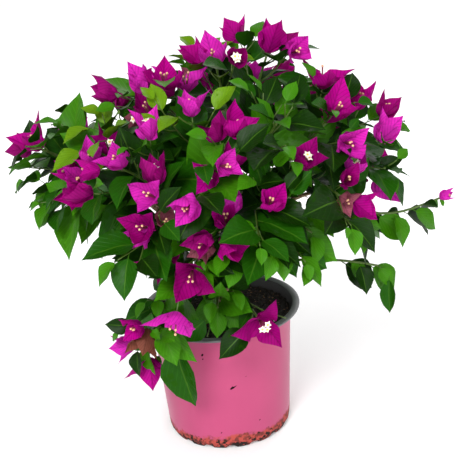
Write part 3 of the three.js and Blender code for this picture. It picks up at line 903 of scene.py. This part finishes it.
def thin_material(
    name, colour, roughness, glow, share, grain_scale, grain_depth,
    vein_colour=None, specular=0.1, contrast=0.4,
):
    """A blade's material: a plain surface that lets part of the light through, with or without veins."""
    made, shade = material(name, colour, roughness, Specular_IOR_Level=specular)
    if vein_colour:
        place = shade.of("ShaderNodeAttribute", 1, {"attribute_name": "blade_place"})
        across = shade.of("ShaderNodeSeparateXYZ", 0, Vector=place)
        along = shade.of("ShaderNodeSeparateXYZ", 1, Vector=place)
        side_veins = ((along - across * 0.55) * (2 * math.pi * SIDE_VEINS)).sine().step(0.6, 1.0)
        vein = side_veins + across.step(0.08, 0.02)
        mottle = noise(shade, grain_scale, 3)
        veined = (vein * contrast + mottle * 0.35).mix(colour, vein_colour)
        shade.feed(surface_of(made)["Base Color"], veined)
        shade.feed(surface_of(made)["Normal"], bump(shade, vein * 0.5 + mottle, 0.3, grain_depth))
    else:
        grain = noise(shade, grain_scale, 3)
        shade.feed(surface_of(made)["Normal"], bump(shade, grain, 0.35, grain_depth))
    through = shade.of("ShaderNodeBsdfTranslucent", 0, Color=glow)
    surface = Shade(made.node_tree, made.node_tree.nodes["Principled BSDF"].outputs[0])
    whole = shade.of("ShaderNodeMixShader", 0, i0=share, i1=surface, i2=through)
    shade.feed(made.node_tree.nodes["Material Output"].inputs["Surface"], whole)
    return made


bract_materials = []
for k, colour in enumerate(BRACT_COLOURS):
    glow, vein = toned(colour, 1.5), toned(colour, 0.38)
    under = toned(colour, 0.85, (0.004, 0.004, 0.004))
    for side, tone in (("face", colour), ("back", under)):
        made = thin_material(f"bract {side} {k}", tone, 0.6, glow, 0.3, 240, 0.001, vein, 0.06, 0.6)
        bract_materials.append(made)
blossom_piece = blossom.build("bracts", bract_materials)
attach(blossom_piece, "root")

# Flowers. One thin tube stands before each bract. Most are still closed buds with a pink tip, and one
# head in so many has all three open as stars.
OPEN_HEADS = 7
STAR_RADIUS, STAR_NOTCH, EYE_RADIUS = 4.3, 2.5, 1.3


def fan(bundle, centre, axes, peak, spokes, slot):
    """Triangles round a peak, out to spokes whose reach and rise are given in turn."""
    side, over, ahead = axes
    points = [centre + ahead * peak]
    for n, (reach, rise) in enumerate(spokes):
        angle = 2 * math.pi * n / len(spokes)
        points.append(centre + (side * math.cos(angle) + over * math.sin(angle)) * reach + ahead * rise)
    around = [(0, 1 + n, 1 + (n + 1) % len(spokes)) for n in range(len(spokes))]
    bundle.add([tuple(p) for p in points], around, slot)


flowers = Bundle()
for k, (point, ahead, bracts, limb) in enumerate(heads):
    dice = Dice(900 + k)
    for j, blade in enumerate(bracts):
        length = blade.length * dice.roll(0.42, 0.56)
        aim = mixed((ahead, 1), (blade.ahead, 0.35))
        base = point + aim * 1.0
        top = base + aim * length
        line = [base, base + aim * length * 0.3, base + aim * length * 0.75, top]
        tube(flowers, line, [0.5, 1.0, 0.75, 0.9], 5, 0)
        if k % OPEN_HEADS == 3:
            side = spoke(aim, dice.roll(0, 6))
            over = aim.cross(side)
            tips = [(STAR_RADIUS, 1.0), (STAR_NOTCH, 0.7)] * 5
            fan(flowers, top, (side, over, aim), 0.6, tips, 1)
            fan(flowers, top, (side, over, aim), 1.6, [(EYE_RADIUS, 1.0)] * 6, 2)
        else:
            tube(flowers, [top - aim * 0.2, top + aim * 0.9, top + aim * 2.0], [0.9, 1.35, 0.6], 5, 3)

tube_red, _ = material("flower tube", (0.20, 0.03, 0.06), 0.6)
star_cream, _ = material("flower star", (0.86, 0.83, 0.68), 0.6)
eye_yellow, _ = material("flower eye", (0.80, 0.55, 0.08), 0.6)
bud_pink, _ = material("bud tip", (0.72, 0.42, 0.24), 0.6)
flower_piece = flowers.build("flowers", [tube_red, star_cream, eye_yellow, bud_pink])
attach(flower_piece, "root")


# Leaves. Oval, drawn out to a point, folded a little along a pale midrib and glossy. Old ones are
# deep green, those near the shoot tips fresh and small.

LEAF_LENGTH = (60, 80)
LEAF_BREADTH = 0.58
INTERNODE = 14
OUTLINE_LEAF = [
    (0, 0.035), (0.14, 0.035), (0.17, 0.26), (0.23, 0.61), (0.32, 0.88), (0.43, 1), (0.54, 0.99),
    (0.65, 0.88), (0.76, 0.67), (0.86, 0.39), (0.93, 0.16), (1, 0),
]
LEAF_COLOURS = [
    (0.004, 0.022, 0.0003), (0.009, 0.060, 0.001), (0.032, 0.140, 0.002), (0.088, 0.19, 0.003),
]
FRESH, LIME = 2, 3  # the colours of the youngest leaves

# Turns about the stem, and sizes, that a leaf tries until it finds room.
LEAF_TRIES = [
    (0, 1), (0.7, 1), (-0.7, 1), (1.5, 0.9), (-1.5, 0.9), (2.5, 0.85), (0.4, 0.7), (-1, 0.7), (0, 0.5),
]
YOUNG_SIZES = [0.42, 0.62, 0.82, 1]  # of the leaves from a shoot's tip down
LIME_SHOOTS = ("crest", "top_front", "left_high")
LIGHT_SIDE = Vector((-0.2, -1, 0.3))  # where the leaves of a hanging shoot turn

leaves = []


def grow_leaf(limb, point, ahead, turn, size, droop, tint, dice):
    """Turns or shrinks the leaf until it has room, or skips it."""
    out = outward(point)
    fold, drop = dice.roll(0.05, 0.16), dice.roll(0.02, 0.2)
    phase, twist = dice.roll(0, 6), dice.roll(-0.4, 0.4)
    for shift, scale in LEAF_TRIES:
        stalk = mixed((spoke(ahead, turn + shift), 0.8), (ahead, 0.35), (out, 0.5))
        aim = mixed((stalk, 1), (UP, -droop))
        length = size * scale * limb.leaf_size
        facing = mixed((out, 0.7), (UP, 0.7), (LIGHT_SIDE, 0.9 if limb.name in TRAILING_SHOOTS else 0))
        blade = Blade(point, aim, facing, length, LEAF_BREADTH, fold, drop, -0.04, 0.03, phase, twist)
        if foliage.place([blade], limb):
            leaves.append((blade, tint))
            return True
    return False


# Old leaves hang from the lowest shoots, two of them before the pot: the shoot, how far along it they
# are stalked, the foot of the blade from there, where it points, its length and its breadth.
HANGING_LEAVES = [
    ("over_rim_left", 0.75, (9, -23, -22), (0.15, -0.04, -1), 86, 0.40),
    ("over_rim_front", 0.60, (12, -14, -2), (0.15, -0.55, -0.8), 66, 0.5),
    ("trail_right_low", 1, (11, -3, -9), (-0.05, -0.1, -1), 42, 0.37),
]
for name, t, offset, aim, length, breadth in HANGING_LEAVES:
    limb = next(limb for limb in limbs if limb.name == name)
    base = limb.arch.point(t)
    top = base + Vector(offset)
    aim = Vector(aim).normalized()
    facing = Vector((-0.25, -0.9, 0.3))
    blade = Blade(top, aim, facing, length, breadth, 0.16, 0.06, -0.05, 0.03, 1, 0.1)
    if foliage.place([blade], limb):
        leaves.append((blade, 1))
        stalks.append([base, base.lerp(top, 0.5) - UP * 0.8, top])

# The other leaves stand spirally at the nodes of the shoots. The first three colours are dealt out by
# shoot, and the leaves nearest the tips are small and fresh.
for index, shoot in enumerate(shoots):
    dice = Dice(5000 + 17 * index)
    spray = index * 5 % 3
    trails = shoot.limb.name in TRAILING_SHOOTS
    nodes = max(int(shoot.length * (1.5 if trails else 0.4 + 0.6 * shoot.limb.leaf_size) / INTERNODE), 2)
    first_turn = dice.roll(0, 2 * math.pi)
    for k in range(nodes + 1):
        t = 1 - k / nodes
        if shoot.in_bloom and k == 0 or shoot.order > 0 and k == nodes:
            continue
        point, ahead = shoot.at(min(t, 0.999))
        size = dice.roll(*LEAF_LENGTH) * YOUNG_SIZES[min(k, 3)] * (1 if shoot.order < 2 else 0.85)
        size *= dice.roll(0.45, 1.25) if trails else 1
        tint = spray
        if k < 2 and shoot.limb.name in LIME_SHOOTS:
            tint = LIME
        elif k == 0 or trails and k % 2:
            tint = FRESH
        droop = dice.roll(-0.2, 1.7) if trails else dice.roll(0.1, 0.65) * min(k / 4, 1)
        if grow_leaf(shoot.limb, point, ahead, first_turn + k * GOLDEN_TURN, size, droop, tint, dice):
            shoot.last_used = max(shoot.last_used, t)

leaf_materials = []
for k, colour in enumerate(LEAF_COLOURS):
    glow, vein = toned(colour, 2.2), toned(colour, 1.6, (0.001, 0.001, 0.001))
    rib = toned(colour, 0.5, (0.034, 0.088, 0.006))
    under = toned(colour, 0.8, (0.008, 0.026, 0.002))
    leaf_materials += [
        thin_material(f"leaf face {k}", colour, 0.38, glow, 0.08, 160, 0.0006, vein, 0.09),
        thin_material(f"leaf rib {k}", rib, 0.4, glow, 0.08, 160, 0.0005, specular=0.08),
        thin_material(f"leaf back {k}", under, 0.6, glow, 0.16, 160, 0.001, specular=0.03),
    ]
LEAVES_A_PIECE = 600
for start in range(0, len(leaves), LEAVES_A_PIECE):
    bundle = Bundle()
    for blade, tint in leaves[start : start + LEAVES_A_PIECE]:
        points, faces, kinds, places = sheet(blade, OUTLINE_LEAF, 0.3, stalk=1)
        bundle.add(points, faces, [tint * 3 + kind for kind in kinds], places)
    piece = bundle.build(f"leaves_{1 + start // LEAVES_A_PIECE}", leaf_materials)
    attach(piece, "root")
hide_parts(*[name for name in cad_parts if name.startswith("mass_")])

# Twigs. The stems, twigs and flower stalks that carry it all, thin, smooth and green.
twigs = Bundle()
for shoot in shoots:
    if shoot.last_used == 0:
        continue
    line = [shoot.at(shoot.last_used * k / 10)[0] for k in range(11)]
    tube(twigs, line, [shoot.radius * (1 - 0.035 * k * shoot.last_used) for k in range(11)], 6, 0)
for line in stalks:
    tube(twigs, line, [0.75, 0.6, 0.5], 5, 0)
twig_green, _ = material("twig", (0.055, 0.105, 0.010), 0.5)
twig_piece = twigs.build("twigs", [twig_green])
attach(twig_piece, "root")


# The studio. A wide white bowl for a floor, white behind the plant from every side, which glows a
# little, though less near the pot where its shadow lies. A soft key light from the upper left, a weaker
# fill from the right, a rim light from behind, and a long lens that looks down a little and leans.

FLOOR_RADIUS, FLOOR_SEGMENTS = 4.5, 64
SWEEP_RADIUS = 1.5
WALL_HEIGHT = 4.5
sweep = [(0.001, 0), (1, 0), (2, 0), (FLOOR_RADIUS, 0)]
sweep += [
    (FLOOR_RADIUS + SWEEP_RADIUS * math.sin(a), SWEEP_RADIUS * (1 - math.cos(a)))
    for a in np.linspace(0, math.pi / 2, 9)[1:]
]
sweep.append((FLOOR_RADIUS + SWEEP_RADIUS, WALL_HEIGHT))
floor = bpy.data.objects.new("floor", bpy.data.meshes.new("floor"))
floor_points = lathe(sweep, FLOOR_SEGMENTS).reshape(-1, 3).tolist()
floor.data.from_pydata(floor_points, [], grid_faces(len(sweep), FLOOR_SEGMENTS, True))
floor.data.polygons.foreach_set("use_smooth", [True] * len(floor.data.polygons))
white, shade = material("studio floor", (0.84, 0.84, 0.84), 0.9, Emission_Strength=0.36)
# Painted shadow: the floor's glow falls to under half near the pot, a darker ring round its foot.
place = shade.of("ShaderNodeTexCoord", "Object")
distance = shade.of("ShaderNodeVectorMath", 1, {"operation": "LENGTH"}, i0=place)
glow_with_painted_shadow = distance.step(0.09, 0.55).mix((0.45, 0.45, 0.45), (1, 1, 1))
shade.feed(surface_of(white)["Emission Color"], glow_with_painted_shadow)
floor.data.materials.append(white)
bpy.context.scene.collection.objects.link(floor)

world = bpy.data.worlds.new("studio")
bpy.context.scene.world = world
world.use_nodes = True
sky = world.node_tree.nodes["Background"].inputs
sky["Color"].default_value = (1, 1, 1, 1)
sky["Strength"].default_value = 0.38


def area_light(name, place, target, size, power):
    light = bpy.data.lights.new(name, "AREA")
    light.size = size
    light.energy = power
    made = bpy.data.objects.new(name, light)
    made.location = place
    made.rotation_euler = (Vector(target) - Vector(place)).to_track_quat("-Z", "Y").to_euler()
    bpy.context.scene.collection.objects.link(made)


area_light("key", (-0.6, -2.0, 1.9), (0, 0, 0.22), 0.8, 58)
area_light("fill", (0.9, -2.1, 0.5), (0, 0, 0.12), 1.6, 24)
area_light("rim", (0.6, 1.3, 1.5), (0, 0, 0.3), 0.8, 12)

camera = bpy.data.objects.new("camera", bpy.data.cameras.new("camera"))
camera.data.lens = 89
camera.data.sensor_width = 36
place, target = Vector((0.019, -1.114, 0.668)), Vector((0.019, 0, 0.222))
look = (target - place).to_track_quat("-Z", "Y").to_matrix()
roll = Matrix.Rotation(math.radians(-4.73), 3, "Z")
camera.matrix_world = Matrix.Translation(place) @ (look @ roll).to_4x4()
bpy.context.scene.collection.objects.link(camera)
bpy.context.scene.camera = camera
bpy.context.scene.view_settings.view_transform = "Standard"
